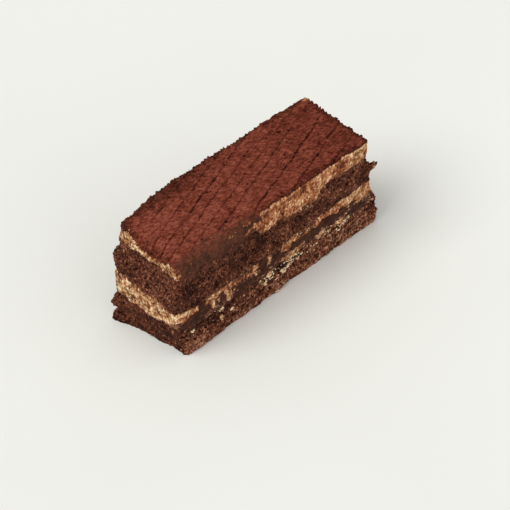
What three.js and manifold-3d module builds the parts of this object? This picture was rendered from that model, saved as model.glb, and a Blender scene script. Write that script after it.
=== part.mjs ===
// A cut bar of tiramisu cake: two dark cocoa sponges, coffee cream between them and above them,
// and a crust of cocoa powder scored with slanting lines.
// Millimetres, +Z up. X runs along the bar from its near end to its far end, Y from its front to its back.

import * as THREE from 'three';
import { ImprovedNoise } from 'three/addons/math/ImprovedNoise.js';
import { mergeVertices } from 'three/addons/utils/BufferGeometryUtils.js';
import Module from 'manifold-3d';

// The bar as it was cut, measured at its top
const LENGTH = 107;
const WIDTH = 36.5;
const HEIGHT = 56;
const CORNER = 1.7; // radius of the upright corners

// Faces between the layers, at their usual height
const LOWER_SPONGE_TOP = 15.5;
const LOWER_CREAM_TOP = 25.8;
const UPPER_SPONGE_TOP = 47.6;
const UPPER_CREAM_TOP = 54.5;
const CRUST = 1.4; // thickness of the cocoa crust
const GAP = 0.3; // clearance between two layers
const RIPPLE = 0.8; // unevenness of the faces between layers
const RIPPLE_SIZE = 15; // width of its waves

// The knife leaned as it cut, so the walls aren't upright
const FAR_LEAN = 11; // how far the foot of the far end stands out
const FAR_BULGE = 1.8; // swell of the far end about the lower sponge
const FAR_BULGE_AT = 13;
const FAR_BULGE_HALF = 6;
const FAR_DENT = 1.2; // dent of the far end about the lower cream
const FAR_DENT_AT = 27;
const FAR_DENT_HALF = 5;
const FRONT_LEAN = 3.2; // how far the front foot stands back at the far end
const BACK_BOW = 1.6; // swell of the back in the middle of its length
const BACK_BOW_SPAN = 139;
const BACK_SPREAD = 1.4; // how far the foot of the back stands out
const BACK_WORN = 3.4; // how far the back's top edge is worn away at the near end
const BACK_WORN_LONG = 24;
const BACK_WORN_FROM = 36; // height at which that starts
const FOOT = 18; // height below which the near end leans
const FOOT_OUT = 2.4; // how far the near end's foot stands out at the back corner
const FOOT_IN = 5; // how far it is drawn in at the front corner
const NEAR_SKEW = 0.7; // how far the near end's back corner stands out at every height
const NEAR_SWELL = 1.7; // swell of that corner about the upper sponge
const NEAR_SWELL_AT = 30;
const NEAR_SWELL_HALF = 15;

// Unevenness of the layers near the two cut faces that meet at the front corner
const NEAR_REACH = 6.5; // length over which the near end differs from the rest
const FRONT_REACH = 3.2; // depth over which the front differs from the rest
const NEAR_DIP = 1.7; // the lower sponge's top dips this much in the middle of the near end
const NEAR_DIP_HALF = 8;
const NEAR_CLIMB = 3; // and climbs this much towards the front corner
const CREAM_LIFT = 2.4; // the lower cream's top climbs this much at the front corner
const BACK_LIFT = 3.4; // and this much at the back corner
const BACK_RISE = 1.4; // rise of the upper sponge's top at that corner
const BACK_FROM = 5; // where both start
const CREAM_RISE = 3.3; // rise of the lower cream's top along the bar
const SPONGE_FALL = 1.2; // fall of the upper sponge's top along the bar
const DRAG = 5; // cream dragged down over the sponge by the knife
const DRAG_FROM = -8;
const DRAG_TO = 27;
const DRAG_SOFT = 2; // half the length over which the drag starts or stops
const TONGUE = 3; // a deeper tongue of cream at the end of the drag
const TONGUE_AT = 22.5;
const TONGUE_HALF = 7;
const DROOP = 5.2; // the crust falls away over the middle of the near end
const DROOP_REACH = 3.2;
const DROOP_AT = -2;
const DROOP_HALF = 8.4;
const SHOULDER = 2; // the top's front edge is rounded over, from the near end to here
const SHOULDER_TO = -14;
const SHOULDER_SOFT = 8;

// Torn crumb on the walls
const SPONGE_CRAG = 1.9;
const CREAM_CRAG = 0.9;
const SEAM_CRAG = 0.8; // along the edges where two layers meet
const CRAG_SIZE = 6.5; // width of the larger crags
const CHIP_SIZE = 2.7; // and of the smaller ones

// Two blunt lobes of sponge torn out at the back of the near end's foot, with a notch between them
const LOBES = [
  { at: 10.8, half: 3.1, out: 2.9 },
  { at: 5, half: 1.8, out: -1.2 },
  { at: 1, half: 2.4, out: 1.8 },
];
const LOBE_FROM = 6; // the lobes grow from here to the back corner
const LOBE_FADE = 2; // and end over this height, under the cream

// A pointed flake of sponge that sticks out of the far end
const FLAKE_TIP = new THREE.Vector3(63.3, -16.7, 37.7);
const FLAKE_LONG = 10;
const FLAKE_HIGH = 7.5;
const FLAKE_THICK = 3;
const FLAKE_SIDES = 6;

// Lines scored across the cocoa: where each crosses the middle of the length
const SCORES = [-30.5, -21.8, -12.9, -4.3, 0.9, 6.6, 11.9, 17.4, 24];
const SCORE_ANGLE = THREE.MathUtils.degToRad(20.5);
const SCORE_DEPTH = 0.5;
const SCORE_SIDE = 4; // side of the three-cornered cutting edge

// Cells of the layers' grids, closer together at the edges than in the middle
const CELLS_LONG = 32;
const CELLS_WIDE = 10;
const CELL_HIGH = 2;
const CLOSER_LONG = 0.12;
const CLOSER_WIDE = 0.33;

const wasm = await Module();
wasm.setup();

const { lerp, smoothstep } = THREE.MathUtils;
const grain = new ImprovedNoise();
const bump = (value, centre, half) => Math.exp(-(((value - centre) / half) ** 2));
const bluntBump = (value, centre, half) => Math.exp(-(((value - centre) / half) ** 4));
const closer = (s, amount) => s * (1 + amount * (1 - s * s));

// Share of the near end and of the front in a place, 1 at the wall and 0 inside
const nearShare = (x) => bump(Math.max(x, -LENGTH / 2), -LENGTH / 2, NEAR_REACH);
const frontShare = (x, y) => 1 - smoothstep(y - frontWall(x, HEIGHT), 0, FRONT_REACH);

// Gentle unevenness, unlike on each face
const ripple = (x, y, face) => RIPPLE * grain.noise(x / RIPPLE_SIZE, y / RIPPLE_SIZE, face + 0.5);

// Walls of the bar at a height
function nearWall(y, z) {
  const share = Math.max(0, 1 - z / FOOT);
  const skew = lerp(-FOOT_IN, FOOT_OUT, y / WIDTH + 0.5);
  const torn = smoothstep(y, LOBE_FROM, WIDTH / 2);
  const lobes = LOBES.reduce((sum, lobe) => sum + lobe.out * bluntBump(z, lobe.at, lobe.half), 0);
  const lobeShare = 1 - smoothstep(z, LOWER_SPONGE_TOP - LOBE_FADE, LOWER_SPONGE_TOP);
  const swell = NEAR_SKEW + NEAR_SWELL * bump(z, NEAR_SWELL_AT, NEAR_SWELL_HALF);
  return -LENGTH / 2 - share * skew - torn * lobes * lobeShare - swell * smoothstep(y, 0, WIDTH / 2);
}

function farWall(z) {
  const lean = FAR_LEAN * (1 - z / HEIGHT);
  const bulge = FAR_BULGE * bump(z, FAR_BULGE_AT, FAR_BULGE_HALF);
  const dent = FAR_DENT * bump(z, FAR_DENT_AT, FAR_DENT_HALF);
  return LENGTH / 2 + lean + bulge - dent;
}

function frontWall(x, z) {
  return -WIDTH / 2 + FRONT_LEAN * (1 - z / HEIGHT) * smoothstep(x, -LENGTH / 2, LENGTH / 2);
}

function backWall(x, z) {
  const bow = BACK_BOW * Math.cos((Math.PI * x) / BACK_BOW_SPAN);
  const along = 1 - smoothstep(x, -LENGTH / 2, BACK_WORN_LONG - LENGTH / 2);
  const worn = BACK_WORN * along * smoothstep(z, BACK_WORN_FROM, HEIGHT);
  return WIDTH / 2 + bow + BACK_SPREAD * (1 - z / HEIGHT) - worn;
}

// Faces between the layers
const floorFace = () => -GAP / 2;

function lowerSpongeTop(x, y) {
  const climb = NEAR_CLIMB * smoothstep(-y, 0, WIDTH / 2) - NEAR_DIP * bump(y, 0, NEAR_DIP_HALF);
  return LOWER_SPONGE_TOP + ripple(x, y, 1) + climb * nearShare(x);
}

function lowerCreamTop(x, y) {
  const rise = CREAM_RISE * (x / LENGTH + 0.5) ** 2;
  const lift = CREAM_LIFT * frontShare(x, y) + BACK_LIFT * smoothstep(y, BACK_FROM, WIDTH / 2);
  return LOWER_CREAM_TOP + ripple(x, y, 2) + rise + lift * nearShare(x);
}

function upperSpongeTop(x, y) {
  const starts = smoothstep(x, DRAG_FROM - DRAG_SOFT, DRAG_FROM + DRAG_SOFT);
  const stops = smoothstep(x, DRAG_TO - DRAG_SOFT, DRAG_TO + DRAG_SOFT);
  const drag = DRAG * starts * (1 - stops) + TONGUE * bump(x, TONGUE_AT, TONGUE_HALF);
  const fall = SPONGE_FALL * smoothstep(x, -LENGTH / 4, LENGTH / 4);
  const rise = BACK_RISE * nearShare(x) * smoothstep(y, BACK_FROM, WIDTH / 2);
  return UPPER_SPONGE_TOP + ripple(x, y, 3) + rise - fall - drag * frontShare(x, y);
}

function upperCreamTop(x, y) {
  const edge = Math.exp(-Math.max(0, x + LENGTH / 2) / DROOP_REACH);
  const droop = DROOP * edge * bluntBump(y, DROOP_AT, DROOP_HALF);
  const rounded = 1 - smoothstep(x, SHOULDER_TO - SHOULDER_SOFT, SHOULDER_TO + SHOULDER_SOFT);
  const shoulder = SHOULDER * rounded * frontShare(x, y);
  return UPPER_CREAM_TOP + ripple(x, y, 4) - droop - shoulder;
}

const crustTop = (x, y) => upperCreamTop(x, y) + CRUST;

// Draws a point of the plan in to a quarter disc where it lies in the square round a corner
function roundCorner(plan) {
  const u = Math.max(0, (Math.abs(plan.x) - LENGTH / 2) / CORNER + 1);
  const v = Math.max(0, (Math.abs(plan.y) - WIDTH / 2) / CORNER + 1);
  plan.x -= Math.sign(plan.x) * CORNER * u * (1 - Math.sqrt(1 - (v * v) / 2));
  plan.y -= Math.sign(plan.y) * CORNER * v * (1 - Math.sqrt(1 - (u * u) / 2));
}

// A box of cells whose underside is split into triangles the same way as its top, so that layers nest
function cellBox(cellsHigh) {
  const box = new THREE.BoxGeometry(2, 2, 2, CELLS_LONG, CELLS_WIDE, cellsHigh);
  box.deleteAttribute('normal');
  box.deleteAttribute('uv');
  const corners = box.index.array;
  const underside = box.groups.at(-1);
  for (let i = underside.start; i < underside.start + underside.count; i += 6) {
    const [a, b, d, , c] = corners.slice(i, i + 6);
    corners.set([a, b, c, a, c, d], i);
  }
  return mergeVertices(box);
}

// One layer of the bar between two faces, its walls torn by crags of the given depth
function layerGeometry(lowerFace, upperFace, cragDepth) {
  const thickness = upperFace(0, 0) - lowerFace(0, 0);
  const geometry = cellBox(Math.max(1, Math.round(thickness / CELL_HIGH)));
  const position = geometry.attributes.position;
  const cell = new THREE.Vector3();
  const plan = new THREE.Vector2();
  for (let i = 0; i < position.count; i += 1) {
    cell.fromBufferAttribute(position, i);
    plan.set((closer(cell.x, CLOSER_LONG) * LENGTH) / 2, (closer(cell.y, CLOSER_WIDE) * WIDTH) / 2);
    const high = cell.z / 2 + 0.5;
    const level = lerp(lowerFace(plan.x, plan.y), upperFace(plan.x, plan.y), high);
    roundCorner(plan);
    let x = lerp(nearWall(plan.y, level), farWall(level), plan.x / LENGTH + 0.5);
    let y = lerp(frontWall(x, level), backWall(x, level), plan.y / WIDTH + 0.5);
    const crag = grain.noise(x / CRAG_SIZE, y / CRAG_SIZE, level / CRAG_SIZE);
    const chip = grain.noise(x / CHIP_SIZE, y / CHIP_SIZE, level / CHIP_SIZE);
    const torn = (Math.abs(cell.z) === 1 ? SEAM_CRAG : cragDepth) * (crag + chip / 2);
    x += Math.abs(cell.x) === 1 ? torn * cell.x : 0;
    y += Math.abs(cell.y) === 1 ? torn * cell.y : 0;
    const z = lerp(lowerFace(x, y) + GAP / 2, upperFace(x, y) - GAP / 2, high);
    position.setXYZ(i, x, y, z);
  }
  return geometry;
}

// Closed meshes become solids for joining and cutting, and come back as geometry
function toSolid(geometry) {
  const shape = geometry.clone();
  shape.deleteAttribute('normal');
  shape.deleteAttribute('uv');
  const merged = mergeVertices(shape);
  const vertProperties = new Float32Array(merged.attributes.position.array);
  const triVerts = new Uint32Array(merged.index.array);
  return new wasm.Manifold(new wasm.Mesh({ numProp: 3, vertProperties, triVerts }));
}

function toGeometry(solid) {
  const mesh = solid.getMesh();
  const geometry = new THREE.BufferGeometry();
  geometry.setAttribute('position', new THREE.BufferAttribute(mesh.vertProperties, 3));
  geometry.setIndex(new THREE.BufferAttribute(mesh.triVerts, 1));
  return geometry;
}

// The flake is a flattened cone that points along the bar, its root sunk in the sponge
function flakeGeometry() {
  const cone = new THREE.ConeGeometry(0.5, FLAKE_LONG, FLAKE_SIDES);
  cone.translate(0, -FLAKE_LONG / 2, 0);
  cone.rotateZ(-Math.PI / 2);
  cone.scale(1, FLAKE_THICK, FLAKE_HIGH);
  cone.translate(FLAKE_TIP.x, FLAKE_TIP.y, FLAKE_TIP.z);
  return cone;
}

// A score is cut by a long three-cornered bar with one edge down
function scoreGeometry(crossing) {
  const radius = SCORE_SIDE / Math.sqrt(3);
  const bar = new THREE.CylinderGeometry(radius, radius, 2 * LENGTH, 3);
  bar.rotateY(Math.PI);
  bar.rotateZ(-Math.PI / 2);
  bar.rotateZ(SCORE_ANGLE);
  bar.translate(0, crossing, UPPER_CREAM_TOP + CRUST - GAP / 2 - SCORE_DEPTH + radius);
  return bar;
}

function spongeUpperGeometry() {
  const sponge = toSolid(layerGeometry(lowerCreamTop, upperSpongeTop, SPONGE_CRAG));
  return toGeometry(sponge.add(toSolid(flakeGeometry())));
}

function crustGeometry() {
  const crust = toSolid(layerGeometry(upperCreamTop, crustTop, SEAM_CRAG));
  const scored = SCORES.reduce((solid, at) => solid.subtract(toSolid(scoreGeometry(at))), crust);
  return toGeometry(scored);
}

function addLayer(group, name, geometry, color, roughness) {
  const material = new THREE.MeshStandardMaterial({ color, roughness, metalness: 0 });
  const mesh = new THREE.Mesh(geometry, material);
  mesh.name = name;
  group.add(mesh);
}

const cake = new THREE.Group();
addLayer(cake, 'sponge_lower', layerGeometry(floorFace, lowerSpongeTop, SPONGE_CRAG), '#4a2a20', 0.95);
addLayer(cake, 'cream_lower', layerGeometry(lowerSpongeTop, lowerCreamTop, CREAM_CRAG), '#c79b6a', 0.6);
addLayer(cake, 'sponge_upper', spongeUpperGeometry(), '#4d2c22', 0.95);
addLayer(cake, 'cream_upper', layerGeometry(upperSpongeTop, upperCreamTop, CREAM_CRAG), '#c4945f', 0.6);
addLayer(cake, 'cocoa_top', crustGeometry(), '#6e372a', 1);

// The origin is on the floor, under the middle of the whole
const bounds = new THREE.Box3().setFromObject(cake);
const middle = bounds.getCenter(new THREE.Vector3());
cake.position.set(-middle.x, -middle.y, -bounds.min.z);

export default cake;
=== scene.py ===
"""Looks of a cut bar of tiramisu cake.

The bar lies along X with its near end at -X and its front at -Y. Its five solid layers come from the
frame. Each is copied, refined and carved here into torn sponge, whipped cream or sieved cocoa. Chocolate
smears, crumbs, flecks and grains are then laid on the layers.
"""

import logging
import math
from dataclasses import dataclass, field
from enum import Enum
from typing import NamedTuple

import bmesh
import bpy
import numpy as np
from bmesh.types import BMesh
from bpy.types import Material, Node, NodeSocket, NodeTree, Object
from mathutils import Euler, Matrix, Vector, noise
from mathutils.bvhtree import BVHTree


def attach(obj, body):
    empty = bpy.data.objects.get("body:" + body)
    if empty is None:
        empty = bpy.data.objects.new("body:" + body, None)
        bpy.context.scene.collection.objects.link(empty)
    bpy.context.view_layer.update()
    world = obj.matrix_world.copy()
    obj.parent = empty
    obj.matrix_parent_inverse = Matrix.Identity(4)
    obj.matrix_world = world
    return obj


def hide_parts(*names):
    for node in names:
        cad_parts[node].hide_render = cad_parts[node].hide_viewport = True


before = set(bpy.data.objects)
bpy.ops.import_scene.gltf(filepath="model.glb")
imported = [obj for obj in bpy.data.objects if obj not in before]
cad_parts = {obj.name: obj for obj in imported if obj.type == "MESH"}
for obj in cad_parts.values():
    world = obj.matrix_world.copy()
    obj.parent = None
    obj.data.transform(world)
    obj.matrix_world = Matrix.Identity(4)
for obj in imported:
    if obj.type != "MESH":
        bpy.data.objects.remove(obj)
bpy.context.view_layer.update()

log = logging.getLogger("tiramisu")

MM = 0.001
BODY = "root"
MERGE = 0.001  # points closer than this, in millimetres, are one point
NOISE_SEED = 5  # noise_vector takes its offsets from this seed

# Middle of the bar as it was cut, in the frame. Places on the cake are millimetres from here.
BAR_MIDDLE = Vector((-3.787, -1.256, 0.0))
HALF_LONG = 53.5
HALF_WIDE = 18.25
HIGH = 56.0
WALL = 0.7  # a face is a wall where its normal rises or falls less than this
OVAL = 2.8  # power of a patch's outline: 2 is an ellipse, more is squarer
WIPE = 0.55  # scale of ragged rims along the bar, under 1 where the knife drew them out


class Slot(Enum):
    """Material slots of the part's record."""

    SPONGE = "sponge"
    CREAM = "cream"
    COCOA = "cocoa"


class Side(Enum):
    """The two long walls, by the way each faces along Y."""

    FRONT = -1
    BACK = 1


class Touch(NamedTuple):
    """What carving does at one point of a layer.

    Attributes:
        lift: Millimetres that the point moves outwards.
        tone: Place on the finish's scale of colours, from 0, dark, to 1, light; besides the food's own
            colour it holds painted shade in hollows and painted highlights on raised parts.
        speckle: Share of the neighbouring layer strewn over the point.
        stain: Share of the finish's second scale of colours.
    """

    lift: float
    tone: float
    speckle: float = 0.0
    stain: float = 0.0


def smooth_step(value: float, start: float, end: float) -> float:
    """Eases a value from 0 at the start of a span to 1 at its end."""
    share = min(1.0, max(0.0, (value - start) / (end - start)))
    return share * share * (3 - 2 * share)


def grain(place: Vector, size: float) -> float:
    """Smooth noise from about -1 to 1, with waves size millimetres wide."""
    return noise.noise(place / size)


def clump(place: Vector, size: float) -> float:
    """Rounded clumps, size millimetres apart: 0 in the crevices between them, 1 on their backs."""
    nearest, second = noise.voronoi(place / size)[0][:2]
    return smooth_step(second - nearest, 0.0, 0.55)


def pore(place: Vector, spacing: float, width: float) -> float:
    """Round pores, spacing millimetres apart: 1 in the middle of a pore, 0 outside."""
    nearest = noise.voronoi(place / spacing)[0][0] * spacing
    return 1 - smooth_step(nearest, width / 5, width / 2)


def rough(place: Vector, size: float) -> float:
    """Noise in three octaves, with waves up to size millimetres wide."""
    return noise.fractal(place / size, 1.0, 2.0, 3)


def on_bar(point: Vector | np.ndarray) -> Vector:
    """A point of the frame, in millimetres from the middle of the bar."""
    return Vector(point) / MM - BAR_MIDDLE


def linear(code: str) -> tuple[float, float, float, float]:
    """Turns an sRGB hex colour to linear light.

    Args:
        code: The colour, such as #aabbcc.

    Returns:
        Red, green, blue and an alpha of 1.
    """
    shares = [int(code[i:i + 2], 16) / 255 for i in (1, 3, 5)]
    light = [s / 12.92 if s <= 0.04045 else ((s + 0.055) / 1.055) ** 2.4 for s in shares]
    return (*light, 1.0)


def per_metre(size: float) -> float:
    """Scale of a texture whose pattern repeats about every size millimetres."""
    return 1 / (size * MM)


def add_node(tree: NodeTree, kind: str, settings: dict | None = None, inputs: dict | None = None) -> Node:
    """Adds one node.

    Args:
        tree: The material's node tree.
        kind: The node's type, without ShaderNode.
        settings: Its properties; stops holds a colour ramp's places and colours.
        inputs: For each input, by name or number, a value or the socket that feeds it.

    Returns:
        The new node.
    """
    node = tree.nodes.new("ShaderNode" + kind)
    for name, value in (settings or {}).items():
        if name == "stops":
            elements = node.color_ramp.elements
            while len(elements) < len(value):
                elements.new(1.0)
            for element, (place, colour) in zip(elements, value):
                element.position = place
                element.color = linear(colour)
        else:
            setattr(node, name, value)
    for key, value in (inputs or {}).items():
        if isinstance(value, NodeSocket):
            tree.links.new(value, node.inputs[key])
        else:
            node.inputs[key].default_value = value
    return node


Stops = tuple[tuple[float, str], ...]
BUMP_STRENGTH = 0.6
SCATTER_RADIUS = (1.0, 0.6, 0.35)  # how far red, green and blue light spread inside, one against another
SCATTER_DEPTH = 1.2  # how far red light spreads, in millimetres
SPECKLED = (0.95, 1.1)  # share plus noise at which a speckle begins and at which it is full

# Colours from the darkest hollow to the lightest tip: the carved tone puts painted shade in the hollows
# and painted highlights on the tips
SPONGE_STOPS: Stops = (
    (0.0, "#220b05"), (0.3, "#482417"), (0.55, "#693a28"), (0.8, "#925a42"), (1.0, "#bd8c71"))
SMUDGED_STOPS: Stops = (
    (0.0, "#2a1208"), (0.3, "#5a3019"), (0.55, "#855231"), (0.8, "#ab7850"), (1.0, "#d3a684"))
CREAM_STOPS: Stops = (
    (0.0, "#52280f"), (0.3, "#86502b"), (0.55, "#b07c50"), (0.8, "#d6ad7f"), (1.0, "#f3dcb6"))
STAINED_STOPS: Stops = (
    (0.0, "#54230d"), (0.3, "#894622"), (0.55, "#b16f44"), (0.8, "#daa174"), (1.0, "#f5d2aa"))
CRUMB_STOPS: Stops = (
    (0.3, "#220b05"), (0.45, "#422012"), (0.55, "#6a3b27"), (0.7, "#a87860"))
FLECK_STOPS: Stops = (
    (0.3, "#8c5a42"), (0.45, "#bb8664"), (0.6, "#e6be99"), (0.75, "#fbe6cc"))
PALE_STOPS: Stops = (
    (0.0, "#bd8a5b"), (0.5, "#f6cc98"), (1.0, "#ffe9c4"))
COCOA_STOPS: Stops = (
    (0.0, "#240c06"), (0.35, "#57251a"), (0.6, "#773a2b"), (1.0, "#985543"))
SMEAR_STOPS: Stops = (
    (0.0, "#28150c"), (0.5, "#482a1e"), (1.0, "#703d2d"))


@dataclass(frozen=True)
class Finish:
    """A food surface: a scale of colours read by the carved tone, with grain and speckles of its own.

    Attributes:
        name: What the material is.
        stops: Its colours from dark to light.
        stained_stops: The same where the knife or the coffee has stained it.
        speckle_stops: Colours of what is strewn over it.
        grain_size: Width of its grain in millimetres.
        grain_share: How far the grain moves the tone.
        stretch: Scale of the grain along its three own axes.
        turn: Turn of those axes about Z, in degrees.
        speckle_size: Width of a speckle in millimetres.
        roughness: Roughness of the surface.
        specular: Specular level.
        subsurface: Share of light that enters and leaves again.
        bump_depth: Depth of the finest grain in millimetres.
    """

    name: str
    stops: Stops
    stained_stops: Stops
    speckle_stops: Stops
    grain_size: float
    grain_share: float
    roughness: float
    specular: float
    bump_depth: float
    stretch: tuple[float, float, float] = (1.0, 1.0, 1.0)
    turn: float = 0.0
    speckle_size: float = 0.8
    subsurface: float = 0.0

    def material(self) -> Material:
        """Builds the node material, or returns it if it is there already."""
        made = bpy.data.materials.get(self.name)
        if made:
            return made
        made = bpy.data.materials.new(self.name)
        made.use_nodes = True
        tree = made.node_tree
        tree.nodes.clear()
        place = add_node(tree, "TexCoord").outputs["Object"]
        axes = add_node(tree, "Mapping", {"vector_type": "POINT"}, {
            "Vector": place, "Rotation": (0, 0, math.radians(self.turn)), "Scale": self.stretch})
        colour = self.colour(tree, place, axes.outputs["Vector"])
        fine = add_node(tree, "TexNoise", None, {
            "Vector": place, "Scale": per_metre(self.grain_size / 2), "Detail": 2.0})
        bump = add_node(tree, "Bump", None, {
            "Height": fine.outputs["Fac"], "Strength": BUMP_STRENGTH, "Distance": self.bump_depth * MM})
        shader = add_node(tree, "BsdfPrincipled", {"subsurface_method": "BURLEY"}, {
            "Base Color": colour, "Roughness": self.roughness, "Specular IOR Level": self.specular,
            "Subsurface Weight": self.subsurface, "Subsurface Radius": SCATTER_RADIUS,
            "Subsurface Scale": SCATTER_DEPTH * MM, "Normal": bump.outputs["Normal"]})
        add_node(tree, "OutputMaterial", None, {"Surface": shader.outputs["BSDF"]})
        return made

    def colour(self, tree: NodeTree, place: NodeSocket, axes: NodeSocket) -> NodeSocket:
        """Adds the nodes that give the surface its colour.

        Args:
            tree: The material's node tree.
            place: Object coordinates.
            axes: The same, along the grain.

        Returns:
            The socket that holds the colour.
        """
        tone, speckle, stain = (
            add_node(tree, "Attribute", {"attribute_name": name}).outputs["Fac"]
            for name in ("tone", "speckle", "stain"))
        strands = add_node(tree, "TexNoise", None, {
            "Vector": axes, "Scale": per_metre(self.grain_size), "Detail": 3.0, "Roughness": 0.65})
        centred = add_node(tree, "Math", {"operation": "SUBTRACT"}, {
            0: strands.outputs["Fac"], 1: 0.5})
        moved = add_node(tree, "Math", {"operation": "MULTIPLY_ADD"}, {
            0: centred.outputs[0], 1: 2 * self.grain_share, 2: tone})
        clean, stained = (
            add_node(tree, "ValToRGB", {"stops": stops}, {"Fac": moved.outputs[0]})
            for stops in (self.stops, self.stained_stops))
        own = add_node(tree, "Mix", {"data_type": "RGBA"}, {
            0: stain, 6: clean.outputs["Color"], 7: stained.outputs["Color"]})
        spots = add_node(tree, "TexNoise", None, {
            "Vector": place, "Scale": per_metre(self.speckle_size), "Detail": 4.0, "Roughness": 0.6})
        other = add_node(tree, "ValToRGB", {"stops": self.speckle_stops}, {
            "Fac": strands.outputs["Fac"]})
        reach = add_node(tree, "Math", {"operation": "ADD"}, {
            0: speckle, 1: spots.outputs["Fac"]})
        mask = add_node(tree, "MapRange", {"interpolation_type": "SMOOTHSTEP"}, {
            "Value": reach.outputs[0], "From Min": SPECKLED[0], "From Max": SPECKLED[1]})
        mixed = add_node(tree, "Mix", {"data_type": "RGBA"}, {
            0: mask.outputs["Result"], 6: own.outputs[2], 7: other.outputs["Color"]})
        return mixed.outputs[2]


# Cocoa sponge, baked and torn by the knife: matt, with painted shade in its pores and crevices, painted
# highlights on its tips and smudges of cream.
BAKED_SPONGE = Finish("cocoa_sponge_baked", SPONGE_STOPS, SMUDGED_STOPS, FLECK_STOPS, grain_size=1.0,
                      grain_share=1.1, roughness=0.95, specular=0.15, bump_depth=0.15, speckle_size=0.55)
# Whipped cream with coffee: soft, a little translucent, mottled by the coffee that it has soaked up, with
# painted shade in its bubbles and painted light on its folds.
COFFEE_CREAM = Finish("coffee_cream_whipped", CREAM_STOPS, STAINED_STOPS, CRUMB_STOPS, grain_size=1.2,
                      grain_share=1.15, roughness=0.75, specular=0.2, bump_depth=0.08, subsurface=0.06,
                      stretch=(1.0, 1.0, 0.7))
# Flecks of cream drawn off by the knife: paler than the layer they come from, and a little wet.
DRAWN_CREAM = Finish("cream_flecks_drawn", PALE_STOPS, PALE_STOPS, CREAM_STOPS, grain_size=0.8,
                     grain_share=0.3, roughness=0.6, specular=0.2, bump_depth=0.05)
# Cocoa powder through a sieve: dead matt, combed into fine ripples, browner where a knife has wiped it,
# with painted shade in its scored lines and pits.
SIEVED_COCOA = Finish("cocoa_powder_sieved", COCOA_STOPS, SMEAR_STOPS, CREAM_STOPS, grain_size=0.8,
                      grain_share=0.7, roughness=1.0, specular=0.05, bump_depth=0.1,
                      stretch=(0.4, 1.0, 1.0), turn=43.0)
# Chocolate wiped thin by the knife: dark and even, with a dull shine.
WIPED_CHOCOLATE = Finish("chocolate_wiped_thin", SMEAR_STOPS, COCOA_STOPS, CREAM_STOPS, grain_size=1.0,
                         grain_share=0.4, roughness=0.75, specular=0.06, bump_depth=0.05)


@dataclass(frozen=True)
class PaleFloor:
    """Matt pale paint of the studio floor, with a faint unevenness."""

    name: str = "floor_paint_matt"
    pale: str = "#eaebe5"
    paler: str = "#edeee8"
    patch: float = 180.0

    def material(self) -> Material:
        """Builds the node material."""
        made = bpy.data.materials.new(self.name)
        made.use_nodes = True
        tree = made.node_tree
        tree.nodes.clear()
        place = add_node(tree, "TexCoord").outputs["Object"]
        cloud = add_node(tree, "TexNoise", None, {
            "Vector": place, "Scale": per_metre(self.patch)})
        colour = add_node(tree, "ValToRGB", {"stops": ((0.3, self.pale), (0.7, self.paler))}, {
            "Fac": cloud.outputs["Fac"]})
        shader = add_node(tree, "BsdfPrincipled", None, {
            "Base Color": colour.outputs["Color"], "Roughness": 0.9, "Specular IOR Level": 0.1})
        add_node(tree, "OutputMaterial", None, {"Surface": shader.outputs["BSDF"]})
        return made


def solid(node: str) -> BMesh:
    """Copies the shape of one solid, with its corners joined.

    Args:
        node: The solid's name.

    Returns:
        The copy, in the frame.
    """
    bm = bmesh.new()
    bm.from_mesh(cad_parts[node].data)
    bmesh.ops.remove_doubles(bm, verts=bm.verts, dist=MERGE * MM)
    return bm


def new_piece(name: str, bm: BMesh) -> Object:
    """Makes an object of a bmesh, which is freed.

    Args:
        name: The object's name.
        bm: Its shape, in the frame.

    Returns:
        The object, at the origin and linked to the scene.
    """
    mesh = bpy.data.meshes.new(name)
    bm.to_mesh(mesh)
    bm.free()
    piece = bpy.data.objects.new(name, mesh)
    bpy.context.scene.collection.objects.link(piece)
    return piece


def paint(piece: Object, **values: list[float]) -> None:
    """Stores one number for each vertex under each name.

    Args:
        piece: The object to paint.
        values: The numbers, in the order of the vertices.
    """
    for name, numbers in values.items():
        layer = piece.data.attributes.new(name, "FLOAT", "POINT")
        layer.data.foreach_set("value", np.asarray(numbers, np.float32))


def fasten(piece: Object, slot: Slot, finish: Finish, *nodes: str) -> None:
    """Gives a piece its finish and hangs it on the part.

    Args:
        piece: The finished object.
        slot: The record's slot that it belongs to; not used.
        finish: Its finish.
        nodes: The solid layers that it stands for.
    """
    piece.data.materials.append(finish.material())
    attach(piece, BODY)
    if nodes:
        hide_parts(*nodes)
    log.info("%s: %d faces", piece.name, len(piece.data.polygons))


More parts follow.
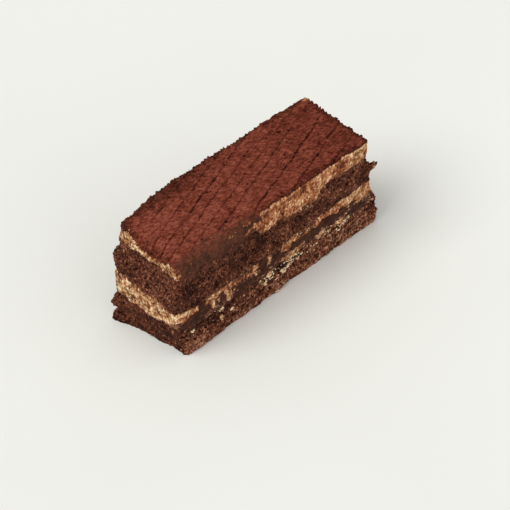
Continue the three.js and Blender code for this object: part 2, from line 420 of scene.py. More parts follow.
@dataclass
class Layer:
    """One layer of the bar, carved from a copy of its solid.

    Attributes:
        node: The solid's name.
        name: The piece's name.
        slot: The record's slot.
        finish: The surface.
        neighbours: The solids that touch it.
        voxel: Size of the first even mesh, in millimetres; what shows is then split once more.
        lap: How far the layer's rims reach over its neighbours, in millimetres.
        ragged: Share by which that reach comes and goes.
        rounds: Rounds of smoothing before the carving.
        piece: The finished object.
        points: Its vertices, in the frame.
        normals: The way that it faces at each.
        speckles: The touch's speckle at each.
        stains: The touch's stain at each.
    """

    node: str
    name: str
    slot: Slot
    finish: Finish
    neighbours: tuple[str, ...]
    voxel: float = 0.7
    lap: float = 0.6
    ragged: float = 0.8
    rounds: int = 3
    piece: Object = field(init=False)
    points: np.ndarray = field(init=False)
    normals: np.ndarray = field(init=False)
    speckles: np.ndarray = field(init=False)
    stains: np.ndarray = field(init=False)

    def build(self) -> None:
        """Makes the piece and keeps what later pieces need to know of its points."""
        bm = self.refined()
        touches = self.carve(bm)
        for face in bm.faces:
            face.smooth = True
        self.points = np.array([v.co for v in bm.verts])
        self.normals = np.array([v.normal for v in bm.verts])
        _, tones, self.speckles, self.stains = np.array(touches).T
        self.piece = new_piece(self.name, bm)
        paint(self.piece, tone=tones, speckle=self.speckles, stain=self.stains)
        fasten(self.piece, self.slot, self.finish, self.node)

    def refined(self) -> BMesh:
        """Copies the solid and gives it an even fine mesh where it shows.

        Returns:
            The smooth shape, ready for carving.
        """
        block = new_piece(self.name + "_block", solid(self.node))
        voxels = block.modifiers.new("Voxels", "REMESH")
        voxels.mode = "VOXEL"
        voxels.voxel_size = self.voxel * MM
        graph = bpy.context.evaluated_depsgraph_get()
        bm = bmesh.new()
        bm.from_mesh(block.evaluated_get(graph).data)
        bpy.data.meshes.remove(block.data)
        shown = [edge for edge in bm.edges if any(self.shows(face.normal) for face in edge.link_faces)]
        bmesh.ops.subdivide_edges(bm, edges=shown, cuts=1, use_grid_fill=True)
        for _ in range(self.rounds):
            bmesh.ops.smooth_vert(
                bm, verts=bm.verts, factor=0.5, use_axis_x=True, use_axis_y=True, use_axis_z=True)
        bm.normal_update()
        return bm

    def shows(self, normal: Vector) -> bool:
        """Whether a face that looks this way is seen: walls are, hidden tops and undersides are not."""
        return abs(normal.z) < WALL

    def carve(self, bm: BMesh) -> list[Touch]:
        """Moves every point as the layer's touch says, and laps the layer over its neighbours.

        Args:
            bm: The smooth shape, changed in place.

        Returns:
            The touches, in the order of the vertices.
        """
        trees = []
        for name in self.neighbours:
            neighbour = solid(name)
            trees.append(BVHTree.FromBMesh(neighbour))
            neighbour.free()
        touches = []
        for vert in bm.verts:
            beside = min(tree.find_nearest(vert.co)[3] for tree in trees) / MM
            touches.append(self.touch(on_bar(vert.co), vert.normal, beside))
        for vert, touch in zip(bm.verts, touches):
            place = vert.co / MM
            upright = abs(vert.normal.z)
            reach = self.lap * (1 + self.ragged * (grain(place, 2.6) + 0.5 * grain(place, 1.0)))
            reach = min(reach, 0.4) if upright > 0.95 else reach
            rise = math.copysign(reach * smooth_step(upright, 0.35, 0.75), vert.normal.z)
            vert.co += vert.normal * (touch.lift * MM)
            vert.co.z = max(0.0, vert.co.z + rise * MM)
        bm.normal_update()
        return touches

    def walls(self) -> np.ndarray:
        """Which points of the carved layer lie on its walls, 1 or 0 for each."""
        return 1.0 * (np.abs(self.normals[:, 2]) < WALL)

    def level(self, least: float) -> np.ndarray:
        """Which points of the carved layer face up more than this, 1 or 0 for each."""
        return 1.0 * (self.normals[:, 2] > least)

    def bare(self) -> np.ndarray:
        """Which points of the carved layer lie clear of the wiped chocolate, 1 or 0 for each."""
        covers = [CHOCOLATE.cover(as_front(on_bar(point))) for point in self.points]
        return 1.0 * (np.array(covers) < BARE)

    def touch(self, place: Vector, normal: Vector, beside: float) -> Touch:
        """What carving does at a point.

        Args:
            place: The point, in millimetres from the middle of the bar.
            normal: The way the smooth surface faces there.
            beside: Millimetres to the nearest other layer.

        Returns:
            The touch.
        """
        raise NotImplementedError


def wall_share(normal: Vector) -> float:
    """1 on an upright wall, 0 on a level face."""
    return 1 - smooth_step(abs(normal.z), 0.6, 0.9)


class Patches(NamedTuple):
    """Oval patches of one kind on a long wall, with ragged rims.

    Attributes:
        ovals: Place along the bar, height, half length and half height of each, in millimetres.
        ragged: Share by which noise moves the rims.
        start: Cover at which a patch begins to show.
        full: Cover at which it shows fully.
    """

    ovals: tuple[tuple[float, float, float, float], ...]
    ragged: float = 0.4
    start: float = -0.2
    full: float = 0.4

    def cover(self, place: Vector) -> float:
        """How far inside the nearest patch a place is.

        Args:
            place: A point of a long wall, in millimetres.

        Returns:
            1 in the middle of a patch, about 0 at its rim and less outside.
        """
        inside = -math.inf
        for along, height, half_long, half_high in self.ovals:
            beside = abs(place.x - along) / half_long
            above = abs(place.z - height) / half_high
            inside = max(inside, 1 - (beside ** OVAL + above ** OVAL) ** (1 / OVAL))
        drawn = Vector((WIPE * place.x, place.y, place.z))
        return inside + self.ragged * grain(drawn, 2.2) + 0.6 * self.ragged * grain(drawn, 0.8)

    def share(self, place: Vector) -> float:
        """How fully the patches show at a place, from 0 to 1."""
        return smooth_step(self.cover(place), self.start, self.full)


# Chocolate wiped along the front, from the near end to the far end
CHOCOLATE = Patches(ragged=0.7, start=0.0, full=0.3, ovals=(
    (-34, 51.3, 25, 7), (-45, 19.9, 7.8, 3.5), (-40.6, 24.3, 2, 2.4), (-29, 20.3, 1.6, 3),
    (-15.5, 17.8, 7, 3.6), (-5.7, 22.5, 2.6, 5), (2.5, 22, 4, 3.2), (27.5, 21.6, 18.5, 2.8),
    (50, 17.8, 6, 2.2)))
# The thin film that it leaves round itself on the layers, with calmer rims
FILM = CHOCOLATE._replace(ragged=0.3, start=-0.45, full=0.15)
BARE = -0.1  # cover of chocolate under which a layer lies clear of it

# Cream dragged over the lower sponge
CREAM_DRAGS = Patches(ragged=0.8, start=-0.3, full=0.6, ovals=(
    (-46, 15.1, 2.4, 1.2), (-32.7, 14.8, 1.2, 1.3), (-29.4, 14.4, 2, 1.2), (-29.5, 8.6, 1.3, 1.7),
    (-23.5, 11, 0.7, 0.8), (-7, 14.8, 1.6, 1.2), (-1.4, 15.8, 2.4, 2.4), (-3.8, 10.3, 1, 1.3),
    (2.7, 9.5, 1.5, 1.5), (6.5, 11, 2, 2.2), (14, 11.1, 5, 0.9), (12, 17, 7.5, 2.4),
    (29.5, 15.8, 4, 2.4), (39.5, 15.8, 4.5, 1.7), (45.5, 15.2, 3, 1), (26, 12.6, 2.2, 1),
    (3, 1.5, 1.3, 1)))

# Crumb smeared over the top of the lower cream
CRUMB_DRAGS = Patches(ragged=0.5, start=-0.3, full=0.5, ovals=(
    (-16.5, 25.8, 7, 2), (-5.7, 25, 3, 3.5), (3, 25.5, 5.5, 3.8), (19.5, 26.5, 6.8, 3.2),
    (39, 30, 8, 1.5)))

# Where the knife strewed small flecks of cream over the lower sponge
CREAM_STREWN = Patches(ovals=(
    (8, 14.5, 20, 5.5), (36, 14.5, 15, 3.5)))

# Cream that stayed pale where the rest of the front is stained
PALE_CREAM = Patches(ovals=(
    (-52, 27, 2.6, 1.6), (-47.5, 26, 2.4, 1.2), (-33.5, 24.6, 5, 1.6), (-34.5, 21, 1.1, 2.2),
    (-25, 21, 2.1, 4.8), (-10.2, 24, 2.2, 2), (-10, 20.5, 0.8, 1.4), (-2.1, 22.5, 1.3, 1.1),
    (10.5, 24.6, 3, 1.7), (12, 17.5, 7.5, 2), (29, 16.8, 3, 2), (39, 16.5, 3.2, 1.6),
    (49, 25.5, 6.5, 5), (49, 52, 6, 5)))

# Cream rubbed brown by the knife
BROWN_CREAM = Patches(ragged=0.5, start=-0.5, ovals=(
    (6.5, 51.5, 5, 2.4), (16.5, 53.5, 2, 2), (37, 50, 3, 3), (-17, 24.3, 6, 2),
    (33, 26.5, 6.5, 2.2), (-36, 22.5, 2.5, 2.5)))

# Cream that the knife left smooth and light
LIGHT_CREAM = Patches(start=-0.4, ovals=(
    (28, 47.5, 5, 3.5), (10.5, 47.5, 3, 2.2), (0.5, 47.5, 2.2, 3), (18, 46.5, 4, 3),
    (27, 53.5, 4, 1.5), (8, 54, 6, 0.8)))

# Sponge soaked dark by coffee
DAMP_SPONGE = Patches(full=0.5, ovals=(
    (-46.5, 39, 5, 5), (-16.5, 38, 3, 3.6), (-8.5, 38.4, 5, 4), (-35, 13.5, 18, 5), (9, 15, 13, 5)))


# Least share of cream strewn on a sponge's long walls, share at which it clots, and share of crumb at
# which cream is rubbed
STREWN, CLOTTED, RUBBED = 0.23, 0.42, 0.6
CLOTS_NEAR = -6.0  # place along the bar up to which clots of cream lie twice as close
FLECKS_BEHIND = 9.0  # place across the frame behind which a few flecks lie on the crust
# Box on the crust's front rim in which a thin line of cream shows: from and to on each axis
RIM_LINE = ((-26.0, -12.0), (-2 * HALF_WIDE, -17.0), (52.5, 54.0))

# Spans over which a look comes in, the first as a share of a normal along X, the rest in millimetres
END = (0.4, 0.8)
FAR_SPONGE = (10.0, 30.0)
DRY_FOOT = (5.0, 12.0)
FLAKE_ALONG, FLAKE_UP = (58.5, 61.0), (32.0, 34.0)
FAINT_ALONG, FAINT_ACROSS = (0.0, 25.0), (2.0, 11.0)
# Span over which painted shade comes in on the cocoa top, as the light falls off towards the far end
FAR_COCOA_SHADE = (-25.0, 55.0)
BITTEN_ALONG = (-12.0, 4.0)
WIPED_NEAR, WIPED_RIM, WIPED_DARK = (6.0, 18.0), (0.2, 4.0), (-30.0, -14.0)
BACK_ACROSS, BACK_NEAR = (9.0, 17.0), (-10.0, 25.0)
CORNER_ALONG, CORNER_ACROSS = (49.0, 51.5), (15.0, 17.5)
DUSTED_LOW, DUSTED_HIGH = (36.0, 44.0), (52.0, 57.0)
DULL_UP, DULL_ALONG = (46.0, 50.0), (-32.0, -20.0)


def long_wall(place: Vector, normal: Vector) -> float:
    """Share of the front or of the back in a place, 1 well on that wall and 0 on the ends."""
    faces = smooth_step(abs(normal.y), 0.35, 0.7)
    return faces * (1.0 if abs(place.y) > HALF_WIDE / 2 else 0.0)


def as_front(place: Vector) -> Vector:
    """The place of the front that a place of the back repeats, turned end for end."""
    return place if place.y < 0 else Vector((-place.x, place.y, place.z))


@dataclass
class SpongeLayer(Layer):
    """A layer of baked sponge, torn into clumps and pores by the knife.

    Attributes:
        lightness: Usual tone of the crumb.
        end_tone: Change of the tone on the near end; on the lower sponge the darkening is partly painted
            shade under the overhanging layers and partly sponge soaked with coffee.
        far_tone: Change of the tone towards the far end.
        dry_foot: Change of the tone at the foot of the long walls.
        contrast: Strength of the light tips and dark hollows on the long walls.
        end_contrast: The same on the near end.
        crag: Width of the larger crags, in millimetres.
        crag_depth: Their depth.
        clump_size: Spacing of the crumb's clumps.
        clump_depth: Depth of the crevices between them.
        strand: Scale of the clumps along Z, under 1 for upright strands.
        pore_spacing: Distance between large pores.
        pore_width: Width of a large pore.
        pore_depth: Depth of a large pore.
    """

    lightness: float = 0.48
    end_tone: float = 0.08
    far_tone: float = 0.0
    dry_foot: float = 0.0
    contrast: float = 1.0
    end_contrast: float = 1.0
    crag: float = 5.0
    crag_depth: float = 0.55
    clump_size: float = 1.7
    clump_depth: float = 0.8
    strand: float = 0.55
    pore_spacing: float = 2.8
    pore_width: float = 1.6
    pore_depth: float = 1.0

    def crumb(self, place: Vector) -> float:
        """How high a place stands in the torn crumb.

        Args:
            place: The place, in millimetres.

        Returns:
            0 in a crevice, 1 on the back of a clump.
        """
        bent = place + 0.9 * noise.noise_vector(place / 1.9)
        drawn = Vector((bent.x, bent.y, bent.z * self.strand))
        folds = min(1.0, 2.2 * abs(grain(drawn, 1.1)))
        clumps = 0.4 * clump(drawn, self.clump_size) + 0.3 * clump(drawn, 0.5 * self.clump_size)
        return clumps + 0.3 * folds

    def touch(self, place: Vector, normal: Vector, beside: float) -> Touch:
        """Carves crags, crumb and pores, paints shade into the crevices and pores and light onto the
        raised clumps, and marks where cream is smudged or strewn over them.
        """
        front = as_front(place)
        on_side = long_wall(place, normal)
        on_end = smooth_step(-normal.x, *END)
        film = on_side * FILM.share(front)
        height = self.crumb(place) - 0.5
        hole = pore(place, self.pore_spacing, self.pore_width)
        crags = rough(place, self.crag)
        fine = grain(place, 0.8)
        patch = noise.noise(Vector((place.x / 6.5, place.y / 6.5, place.z / 4.0)))
        lift = self.crag_depth * crags + self.clump_depth * height - self.pore_depth * hole + 0.15 * fine
        lift += 0.5 * smooth_step(abs(height), 0.2, 0.5) * fine
        contrast = self.contrast + (self.end_contrast - self.contrast) * on_end
        # Painted shade and highlight: the tone falls in crevices and pores and rises on raised clumps and
        # crags
        tone = self.lightness + contrast * (0.36 * height + 0.12 * fine - 0.34 * hole)
        tone += 0.14 * crags + 0.24 * patch + self.end_tone * on_end
        tone += self.far_tone * on_side * smooth_step(front.x, *FAR_SPONGE)
        tone += self.dry_foot * on_side * (1 - smooth_step(place.z, *DRY_FOOT))
        tone -= on_side * 0.24 * DAMP_SPONGE.share(front)
        tone -= 0.12 * film + 0.25 * smooth_step(place.x, *FLAKE_ALONG) * smooth_step(place.z, *FLAKE_UP)
        smudge = on_side * (1 - smooth_step(beside + 1.2 * grain(place, 2.2), 0.1, 1.6)) * (1 - film)
        dragged = 0.6 * CREAM_DRAGS.share(front)
        strewn = 0.3 * CREAM_STREWN.share(front)
        speckle = on_side * max(dragged, strewn, 0.36 * smudge, STREWN) * (1 - film)
        return Touch(lift * wall_share(normal) * (1 - 0.7 * film), tone, speckle, 0.6 * smudge)


@dataclass
class CreamLayer(Layer):
    """A layer of whipped cream, cut by the knife and stained by coffee and crumb.

    Attributes:
        fold: Width of the folds in the cream, in millimetres.
        fold_depth: Their depth.
        bubble_spacing: Distance between burst bubbles.
        bubble_width: Width of a bubble.
        bubble_depth: Depth of a bubble.
        streak: Scale of the stains along Z, under 1 for streaks drawn upright.
        crumbed: Height up to which the front is rubbed with crumb.
        end_tone: Change of the tone on the ends.
    """

    fold: float = 3.0
    fold_depth: float = 0.4
    bubble_spacing: float = 1.9
    bubble_width: float = 1.4
    bubble_depth: float = 0.45
    streak: float = 0.5
    crumbed: float = 0.0
    end_tone: float = 0.0

    def touch(self, place: Vector, normal: Vector, beside: float) -> Touch:
        """Carves folds and bubbles, paints light onto the raised folds and shade into the bubbles, paints
        a highlight where the long walls turn up, and marks stains and crumb.
        """
        on_end = smooth_step(abs(normal.x), *END)
        bent = place + 0.7 * noise.noise_vector(place / 1.7)
        drawn = Vector((bent.x, bent.y, bent.z * (self.streak + (1 - self.streak) * on_end)))
        folds = rough(drawn, self.fold)
        bubble = pore(bent, self.bubble_spacing, self.bubble_width)
        fine = grain(place, 0.7)
        stain = grain(drawn, 4.5)
        lift = self.fold_depth * folds - self.bubble_depth * bubble + 0.1 * fine
        front = as_front(place)
        on_side = long_wall(place, normal)
        film = on_side * FILM.share(front)
        pale = on_side * PALE_CREAM.share(front)
        rubbed = on_side * BROWN_CREAM.share(front)
        smoothed = on_side * LIGHT_CREAM.share(front)
        # Painted shade and highlight: lighter on raised folds, darker in burst bubbles
        tone = 0.6 + (0.3 + 0.12 * on_end) * folds + 0.24 * stain + 0.14 * fine
        tone -= (0.55 - 0.3 * on_side) * bubble
        tone += 0.17 * smoothed - 0.16 * rubbed
        tone += on_side * (0.1 * pale - 0.09) - 0.15 * film + self.end_tone * on_end
        # Painted highlight: cream of the long walls lighter where it turns to face up
        tone += 0.25 * on_side * smooth_step(normal.z, 0.15, 0.6) * smooth_step(fine, -0.2, 0.3)
        low = 1 - smooth_step(place.z - 1.5 * grain(place, 3.0), self.crumbed - 1.2, self.crumbed + 1.2)
        crumb = on_side * max(low, CRUMB_DRAGS.share(front)) * (1 - 0.75 * pale)
        torn = 0.55 * (1 - smooth_step(beside + 0.7 * grain(place, 1.6), 0.1, 1.2))
        loose = 0.31 + 0.2 * grain(place, 3.5) + 0.12 * on_end + 0.08 * (rubbed - smoothed)
        far_end = smooth_step(normal.x, *END)
        dyed = max(on_side * (1 - 0.7 * pale), 0.6 * smooth_step(stain, 0.0, 0.5), 0.5 * far_end)
        return Touch(lift * wall_share(normal), tone, max(0.8 * crumb, torn, loose), dyed)


@dataclass
class CocoaCrust(Layer):
    """The crust of cocoa powder, rippled, clotted and scored with slanting lines.

    Attributes:
        scores: Where each line crosses the middle of the length, and how firmly it is drawn.
        score_angle: Angle of the lines to the bar, in degrees.
        score_width: Width of a line.
        score_depth: Depth of a line.
        raised: Height of the loose powder on the pressed crust.
        ripple_turn: Angle of the ripples to the bar, in degrees.
        ripple_long: Length of a ripple.
        ripple_wide: Width of a ripple.
        ripple_depth: Depth of the ripples.
    """

    scores: tuple[tuple[float, float], ...] = (
        (-30.5, 0.75), (-21.8, 0.8), (-12.9, 0.95), (-4.3, 0.85), (0.9, 0.75), (6.6, 0.85), (11.9, 1.0),
        (17.4, 0.75), (24.0, 0.6))
    score_angle: float = 20.5
    score_width: float = 1.25
    score_depth: float = 0.4
    raised: float = 0.3
    ripple_turn: float = -43.0
    ripple_long: float = 2.6
    ripple_wide: float = 0.9
    ripple_depth: float = 0.2

    def shows(self, normal: Vector) -> bool:
        """All but the underside is seen."""
        return normal.z > -0.5

    def score(self, place: Vector) -> float:
        """How deep a place lies in a scored line.

        Args:
            place: The place, in millimetres.

        Returns:
            1 in the middle of a line, 0 away from it or where the line breaks off.
        """
        faint = smooth_step(place.x, *FAINT_ALONG) * smooth_step(place.y, *FAINT_ACROSS)
        slope = math.tan(math.radians(self.score_angle))
        upright = math.cos(math.radians(self.score_angle))
        deepest = 0.0
        for index, (crossing, strength) in enumerate(self.scores):
            along = Vector((place.x / 8, index * 7.3, 0.0))
            wander = 0.7 * noise.noise(along) + 0.35 * noise.noise(along * 4.1)
            away = abs(place.y - crossing - slope * place.x + wander) * upright
            if away < self.score_width:
                breaks = noise.noise(along * 1.7) + 0.6 * noise.noise(along * 6.1)
                firm = strength * (0.58 + 0.42 * smooth_step(breaks, -0.2, 0.4)) * (1 - 0.7 * faint)
                deepest = max(deepest, firm * (1 - smooth_step(away, 0.12, self.score_width / 2)))
        return deepest

    def touch(self, place: Vector, normal: Vector, beside: float) -> Touch:
        """Carves ripples, clots and scored lines, paints light onto raised ripples and clots and shade
        into the lines, pits and the gaps between the back rim's lumps, darkens the edges and paints the
        far part darker.
        """
        turn = math.radians(self.ripple_turn)
        along = place.x * math.cos(turn) + place.y * math.sin(turn)
        across = place.y * math.cos(turn) - place.x * math.sin(turn)
        ripple = noise.noise(Vector((along / self.ripple_long, across / self.ripple_wide, place.z)))
        clots = rough(place, 3.2)
        pit = pore(Vector((along * 0.7, across * 1.3, place.z)), 5.6, 1.7)
        line = self.score(place) * smooth_step(normal.z, 0.3, 0.7)
        across_rim = min(place.y + HALF_WIDE, HALF_WIDE + 1.2 - place.y)
        edge = 1 - smooth_step(min(across_rim, HALF_LONG - abs(place.x)), 0.0, 3.0)
        # Painted shade: the light's falloff towards the far end
        far = smooth_step(place.x, *FAR_COCOA_SHADE)
        ragged = place.y + HALF_WIDE + 1.2 * grain(place, 4.0)
        wiped = smooth_step(-place.x, *WIPED_NEAR) * (1 - smooth_step(ragged, *WIPED_RIM))
        bitten = smooth_step(place.x, *BITTEN_ALONG) * smooth_step(-normal.y, 0.3, 0.7)
        lumps = clump(place, 1.6) - 0.5
        back = smooth_step(place.y, *BACK_ACROSS) * smooth_step(-place.x, *BACK_NEAR)
        crack = 1 - smooth_step(abs(ripple), 0.0, 0.16)
        lift = self.raised + self.ripple_depth * ripple + 0.3 * clots
        lift = lift - self.score_depth * line - 0.45 * pit
        lift += max(edge, 0.5 * back) * 0.8 * lumps - 0.6 * bitten
        # Painted shade and highlight: lighter on raised ripples and clots, darker in scored lines and
        # pits
        tone = 0.67 + 0.18 * ripple + 0.16 * clots - 0.43 * line - 0.5 * pit - 0.24 * crack
        # Darker at the edges; painted shade towards the far end and between the lumps of the back rim
        tone -= 0.16 * edge + 0.16 * far + 0.2 * back * (1 - lumps)
        dull = 0.84 - 0.22 * smooth_step(place.x, *WIPED_DARK) + 0.16 * clots + 0.1 * ripple
        tone += (dull - tone) * wiped
        bare = smooth_step(place.x, *CORNER_ALONG) * smooth_step(place.y, *CORNER_ACROSS)
        worn = 1 - smooth_step(HALF_LONG - place.x + grain(place, 2.5), 0.0, 3.5)
        return Touch(lift * (1 - 0.8 * wiped), tone, 0.7 * bare, max(wiped, 0.4 * back, 0.6 * worn))


@dataclass
class ChocolateSmears:
    """Thin chocolate that the knife wiped along a long wall.

    Attributes:
        side: The wall.
        step: Spacing of its mesh, in millimetres.
        thick: Thickness in the middle of a smear.
        sunk: How far the sheet dives under the crumb round a smear.
        dive: Cover outside a smear over which it does.
        cut: Cover under which the sheet ends.
        rounds: Rounds of smoothing that bridge the crumb.
    """

    side: Side
    step: float = 0.55
    thick: float = 0.35
    sunk: float = 1.0
    dive: float = 0.4
    cut: float = -0.5
    rounds: int = 7

    def build(self, layers: list[Layer]) -> None:
        """Drapes a sheet on the wall, raises it where the smears are and gives it thickness.

        Args:
            layers: The layers that it lies on.
        """
        graph = bpy.context.evaluated_depsgraph_get()
        bm = self.draped([BVHTree.FromObject(layer.piece, graph) for layer in layers])
        covers = {vert: CHOCOLATE.cover(as_front(on_bar(vert.co))) for vert in bm.verts}
        outside = [vert for vert in bm.verts if covers[vert] < self.cut]
        for vert in bm.verts:
            rise = self.thick * smooth_step(covers[vert], CHOCOLATE.start, CHOCOLATE.full)
            dive = self.sunk * smooth_step(-covers[vert], 0.0, self.dive)
            vert.co.y += self.side.value * (rise - dive) * MM
        bmesh.ops.delete(bm, geom=outside, context="VERTS")
        if self.side is Side.BACK:
            bmesh.ops.reverse_faces(bm, faces=bm.faces)
        bm.normal_update()
        bmesh.ops.solidify(bm, geom=bm.faces, thickness=self.sunk * MM)
        for face in bm.faces:
            face.smooth = True
        tones = []
        for vert in bm.verts:
            place = on_bar(vert.co)
            dusted = 0.25 * smooth_step(place.z, *DUSTED_LOW) + 0.13 * smooth_step(place.z, *DUSTED_HIGH)
            dusted -= 0.08 * smooth_step(place.z, *DULL_UP) * smooth_step(place.x, *DULL_ALONG)
            tones.append(0.39 + 0.22 * grain(place, 5.0) + 0.4 * grain(place, 1.4) + dusted)
        piece = new_piece(f"chocolate_smears_{self.side.name.lower()}", bm)
        paint(piece, tone=tones)
        fasten(piece, Slot.COCOA, WIPED_CHOCOLATE)

    def draped(self, trees: list[BVHTree]) -> BMesh:
        """Lays a grid on the wall and smooths it.

        Args:
            trees: The layers' surfaces.

        Returns:
            The draped grid.
        """
        long = 2 * (HALF_LONG + 6)
        bm = bmesh.new()
        bmesh.ops.create_grid(
            bm, x_segments=round(long / self.step), y_segments=round(HIGH / self.step), size=0.5)
        missed = []
        for vert in bm.verts:
            x, z = vert.co.x * long, (vert.co.y + 0.5) * HIGH
            start = Vector((x, self.side.value * 2 * HALF_WIDE, z)) + BAR_MIDDLE
            heading = Vector((0, -self.side.value, 0))
            hits = [tree.ray_cast(start * MM, heading, HALF_WIDE * 1.6 * MM)[0] for tree in trees]
            depths = [hit.y for hit in hits if hit]
            vert.co = start * MM
            if depths:
                vert.co.y = max(depths) if self.side is Side.BACK else min(depths)
            else:
                missed.append(vert)
        bmesh.ops.delete(bm, geom=missed, context="VERTS")
        for _ in range(self.rounds):
            bmesh.ops.smooth_vert(
                bm, verts=bm.verts, factor=0.5, use_axis_x=False, use_axis_y=True, use_axis_z=False)
        return bm


@dataclass
class Scatter:
    """Many small grains of one kind, lying on the layers and joined in one mesh.

    Attributes:
        name: The piece's name.
        slot: The record's slot.
        finish: The surface.
        smallest: Least width of a grain, in millimetres.
        largest: Greatest width.
        seed: Seed of the random draws.
        drawn: How much longer a grain is along the bar than across it.
        slope: Greatest slope of a drawn grain.
    """

    name: str
    slot: Slot
    finish: Finish
    smallest: float
    largest: float
    seed: int
    drawn: float = 1.0
    slope: float = 0.0
    places: list[np.ndarray] = field(init=False, default_factory=list)
    tones: list[np.ndarray] = field(init=False, default_factory=list)

    def sow(self, layer: Layer, chances: np.ndarray, count: int, tones: tuple[float, float]) -> None:
        """Draws places on a layer.

        Args:
            layer: The layer to lie on.
            chances: Relative chance of each of the layer's points.
            count: Number of grains.
            tones: Least and greatest tone of a grain.
        """
        draw = np.random.default_rng(self.seed + len(self.places))
        picked = draw.choice(len(layer.points), size=count, replace=False, p=chances / chances.sum())
        self.places.append(layer.points[picked])
        self.tones.append(draw.uniform(*tones, count))

    def build(self) -> None:
        """Makes every grain from one faceted ball, each with its own size, shape and turn."""
        ball = bmesh.new()
        bmesh.ops.create_icosphere(ball, subdivisions=1, radius=0.5)
        corners = np.array([v.co for v in ball.verts])
        sides = np.array([[v.index for v in f.verts] for f in ball.faces])
        ball.free()
        draw = np.random.default_rng(self.seed)
        places = np.concatenate(self.places)
        count = len(places)
        widths = self.smallest * (self.largest / self.smallest) ** (draw.random(count) ** 2)
        shapes = draw.uniform(0.5, 1.4, (count, 3)) * widths[:, None] * MM
        dents = draw.uniform(0.6, 1.4, (count, len(corners), 1))
        angles = draw.uniform(0, 2 * math.pi, (count, 3))
        turns = [np.array(Euler(angle).to_matrix()) for angle in angles]
        grains = np.einsum("nij,nkj->nki", np.array(turns), corners * dents * shapes[:, None, :])
        grains[:, :, 0] *= self.drawn
        grains[:, :, 2] += draw.uniform(-self.slope, self.slope, (count, 1)) * grains[:, :, 0]
        points = (grains + places[:, None, :]).reshape(-1, 3)
        points[:, 2] = np.maximum(points[:, 2], 0.0)
        faces = (sides[None] + np.arange(count)[:, None, None] * len(corners)).reshape(-1, 3)
        mesh = bpy.data.meshes.new(self.name)
        mesh.from_pydata(points.tolist(), [], faces.tolist())
        piece = bpy.data.objects.new(self.name, mesh)
        bpy.context.scene.collection.objects.link(piece)
        paint(piece, tone=np.repeat(np.concatenate(self.tones), len(corners)))
        fasten(piece, self.slot, self.finish)


@dataclass
class Cake:
    """The whole bar: five layers, the smears and what is scattered on them."""

    # Near end darker: partly painted shade under the layers that overhang it, partly coffee-soaked sponge
    sponge_lower: SpongeLayer = field(default_factory=lambda: SpongeLayer(
        "sponge_lower", "lower_sponge", Slot.SPONGE, BAKED_SPONGE, ("cream_lower",), lightness=0.55,
        end_tone=-0.21, far_tone=0.08, dry_foot=0.12, contrast=2.6, end_contrast=0.8))
    cream_lower: CreamLayer = field(default_factory=lambda: CreamLayer(
        "cream_lower", "lower_cream", Slot.CREAM, COFFEE_CREAM, ("sponge_lower", "sponge_upper"),
        crumbed=22.6, end_tone=0.05))
    sponge_upper: SpongeLayer = field(default_factory=lambda: SpongeLayer(
        "sponge_upper", "upper_sponge", Slot.SPONGE, BAKED_SPONGE, ("cream_lower", "cream_upper"),
        lightness=0.45, end_tone=0.06, contrast=1.4, end_contrast=1.9))
    cream_upper: CreamLayer = field(default_factory=lambda: CreamLayer(
        "cream_upper", "upper_cream", Slot.CREAM, COFFEE_CREAM, ("sponge_upper",), voxel=0.5,
        lap=0.8, ragged=0.45, rounds=2, end_tone=0.03))
    crust: CocoaCrust = field(default_factory=lambda: CocoaCrust(
        "cocoa_top", "cocoa_crust", Slot.COCOA, SIEVED_COCOA, ("cream_upper",), voxel=0.5, lap=0.15,
        rounds=2))

    def build(self) -> None:
        """Builds the layers from the floor up, then all that lies on them."""
        layers = [self.sponge_lower, self.cream_lower, self.sponge_upper, self.cream_upper, self.crust]
        for layer in layers:
            layer.build()
        for side in Side:
            ChocolateSmears(side).build(layers)
        self.scatter()

    def scatter(self) -> None:
        """Strews crumbs, cream flecks and cocoa grains."""
        lower, cream, crust = self.sponge_lower, self.cream_lower, self.crust
        crumbs = Scatter("sponge_crumbs", Slot.SPONGE, BAKED_SPONGE, smallest=0.3, largest=1.1, seed=11)
        for layer, count, lightest in ((lower, 1300, 0.75), (self.sponge_upper, 1100, 0.6),
                                       (cream, 300, 0.7), (self.cream_upper, 260, 0.7)):
            crumbs.sow(layer, layer.walls(), count, tones=(0.2, lightest))
        crumbs.sow(crust, crust.walls() * (1 - crust.stains), count=420, tones=(0.2, 0.6))
        crumbs.build()
        flecks = Scatter("cream_flecks", Slot.CREAM, DRAWN_CREAM, smallest=0.3, largest=0.75, seed=23,
                         drawn=2.4, slope=0.6)
        clear = lower.walls() * lower.bare()
        dragged = np.sqrt(np.maximum(lower.speckles - STREWN, 0.0))
        flecks.sow(lower, clear * dragged, count=400, tones=(0.2, 1.4))
        rubbed = cream.walls() * (cream.speckles > RUBBED)
        flecks.sow(cream, rubbed * cream.bare(), count=90, tones=(0.0, 0.9))
        behind = crust.level(0.8) * (crust.points[:, 1] > FLECKS_BEHIND * MM)
        flecks.sow(crust, behind, count=4, tones=(0.0, 0.6))
        least, most = np.array(RIM_LINE).T
        places = crust.points / MM - np.array(BAR_MIDDLE)
        line = 1.0 * np.all((places > least) & (places < most), axis=1)
        flecks.sow(crust, line, count=12, tones=(-0.5, 0.1))
        near = [as_front(on_bar(point)).x < CLOTS_NEAR for point in lower.points]
        clots = (lower.speckles > CLOTTED) * np.where(near, 1.0, 0.5)
        flecks.sow(lower, clear * clots, count=200, tones=(0.7, 1.4))
        flecks.build()
        grains = Scatter("cocoa_grains", Slot.COCOA, SIEVED_COCOA, smallest=0.25, largest=0.8, seed=37)
        grains.sow(crust, crust.level(0.5), count=1500, tones=(0.2, 0.75))
        grains.build()


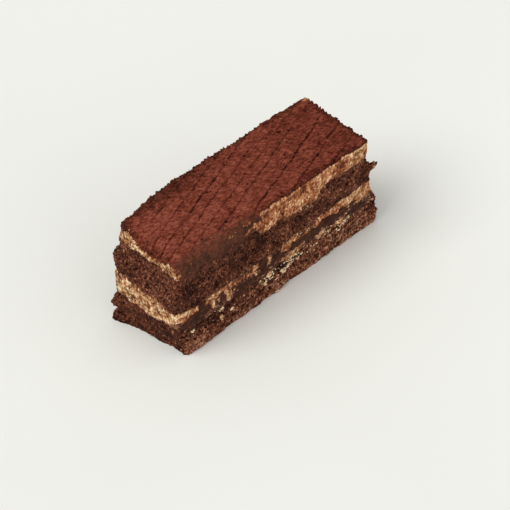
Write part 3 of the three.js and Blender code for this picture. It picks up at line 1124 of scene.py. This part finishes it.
@dataclass(frozen=True)
class Lamp:
    """A soft light that reaches the whole floor evenly.

    Attributes:
        name: Its name.
        place: Where it comes from.
        strength: Its strength.
        spread: Its apparent width, in degrees.
    """

    name: str
    place: tuple[float, float, float]
    strength: float
    spread: float

    def build(self) -> None:
        """Makes the light."""
        light = bpy.data.lights.new(self.name, "SUN")
        light.energy = self.strength
        light.angle = math.radians(self.spread)
        lamp = bpy.data.objects.new(self.name, light)
        lamp.location = self.place
        lamp.rotation_euler = Vector(self.place).to_track_quat("Z", "Y").to_euler()
        bpy.context.scene.collection.objects.link(lamp)


@dataclass
class Studio:
    """A pale floor, a pale sky and soft lights, the stronger one from the near end.

    Attributes:
        floor_radius: Radius of the floor, in metres.
        sky: Colour of the sky.
        sky_strength: Its strength.
        lamps: The lights.
    """

    floor_radius: float = 4.0
    sky: str = "#fcfcfa"
    sky_strength: float = 0.55
    lamps: tuple[Lamp, ...] = (
        Lamp("key", (-0.62, 0.1, 0.78), strength=1.7, spread=40.0),
        Lamp("fill", (0.2, -0.8, 0.6), strength=0.5, spread=80.0))

    def build(self) -> None:
        """Makes the floor, the sky and the lights."""
        bm = bmesh.new()
        bmesh.ops.create_circle(bm, cap_ends=True, segments=96, radius=self.floor_radius)
        floor = new_piece("floor", bm)
        floor.data.materials.append(PaleFloor().material())
        world = bpy.data.worlds.new("pale_sky")
        world.use_nodes = True
        world.node_tree.nodes.clear()
        sky = add_node(world.node_tree, "Background", None, {
            "Color": linear(self.sky), "Strength": self.sky_strength})
        add_node(world.node_tree, "OutputWorld", None, {"Surface": sky.outputs["Background"]})
        bpy.context.scene.world = world
        for lamp in self.lamps:
            lamp.build()
        bpy.context.scene.view_settings.view_transform = "Standard"


@dataclass
class Viewpoint:
    """The photograph's camera.

    Attributes:
        aim: The point that it looks at, in millimetres of the frame.
        distance: How far it stands off, in millimetres.
        azimuth: Its turn about the cake, in degrees, 0 looking along +Y.
        elevation: Its height above the horizon, in degrees.
        lens: Focal length in millimetres.
        sensor: Width of the sensor in millimetres.
    """

    aim: tuple[float, float, float] = (7.8, 4.36, 0.0)
    distance: float = 1112.9
    azimuth: float = -43.3
    elevation: float = 45.39
    lens: float = 183.91
    sensor: float = 36.0

    def build(self) -> None:
        """Makes the camera and gives it to the scene."""
        turn = math.radians(self.azimuth)
        rise = math.radians(self.elevation)
        level = math.cos(rise)
        back = Vector((math.sin(turn) * level, -math.cos(turn) * level, math.sin(rise)))
        camera = bpy.data.objects.new("camera", bpy.data.cameras.new("camera"))
        camera.data.sensor_width = self.sensor
        camera.data.lens = self.lens
        camera.location = (Vector(self.aim) + back * self.distance) * MM
        camera.rotation_euler = (-back).to_track_quat("-Z", "Y").to_euler()
        bpy.context.scene.collection.objects.link(camera)
        bpy.context.scene.camera = camera


def main() -> None:
    """Builds the camera, the studio and the cake."""
    logging.basicConfig(level=logging.INFO, format="%(message)s")
    noise.seed_set(NOISE_SEED)
    Viewpoint().build()
    Studio().build()
    Cake().build()


if __name__ == "__main__":
    main()
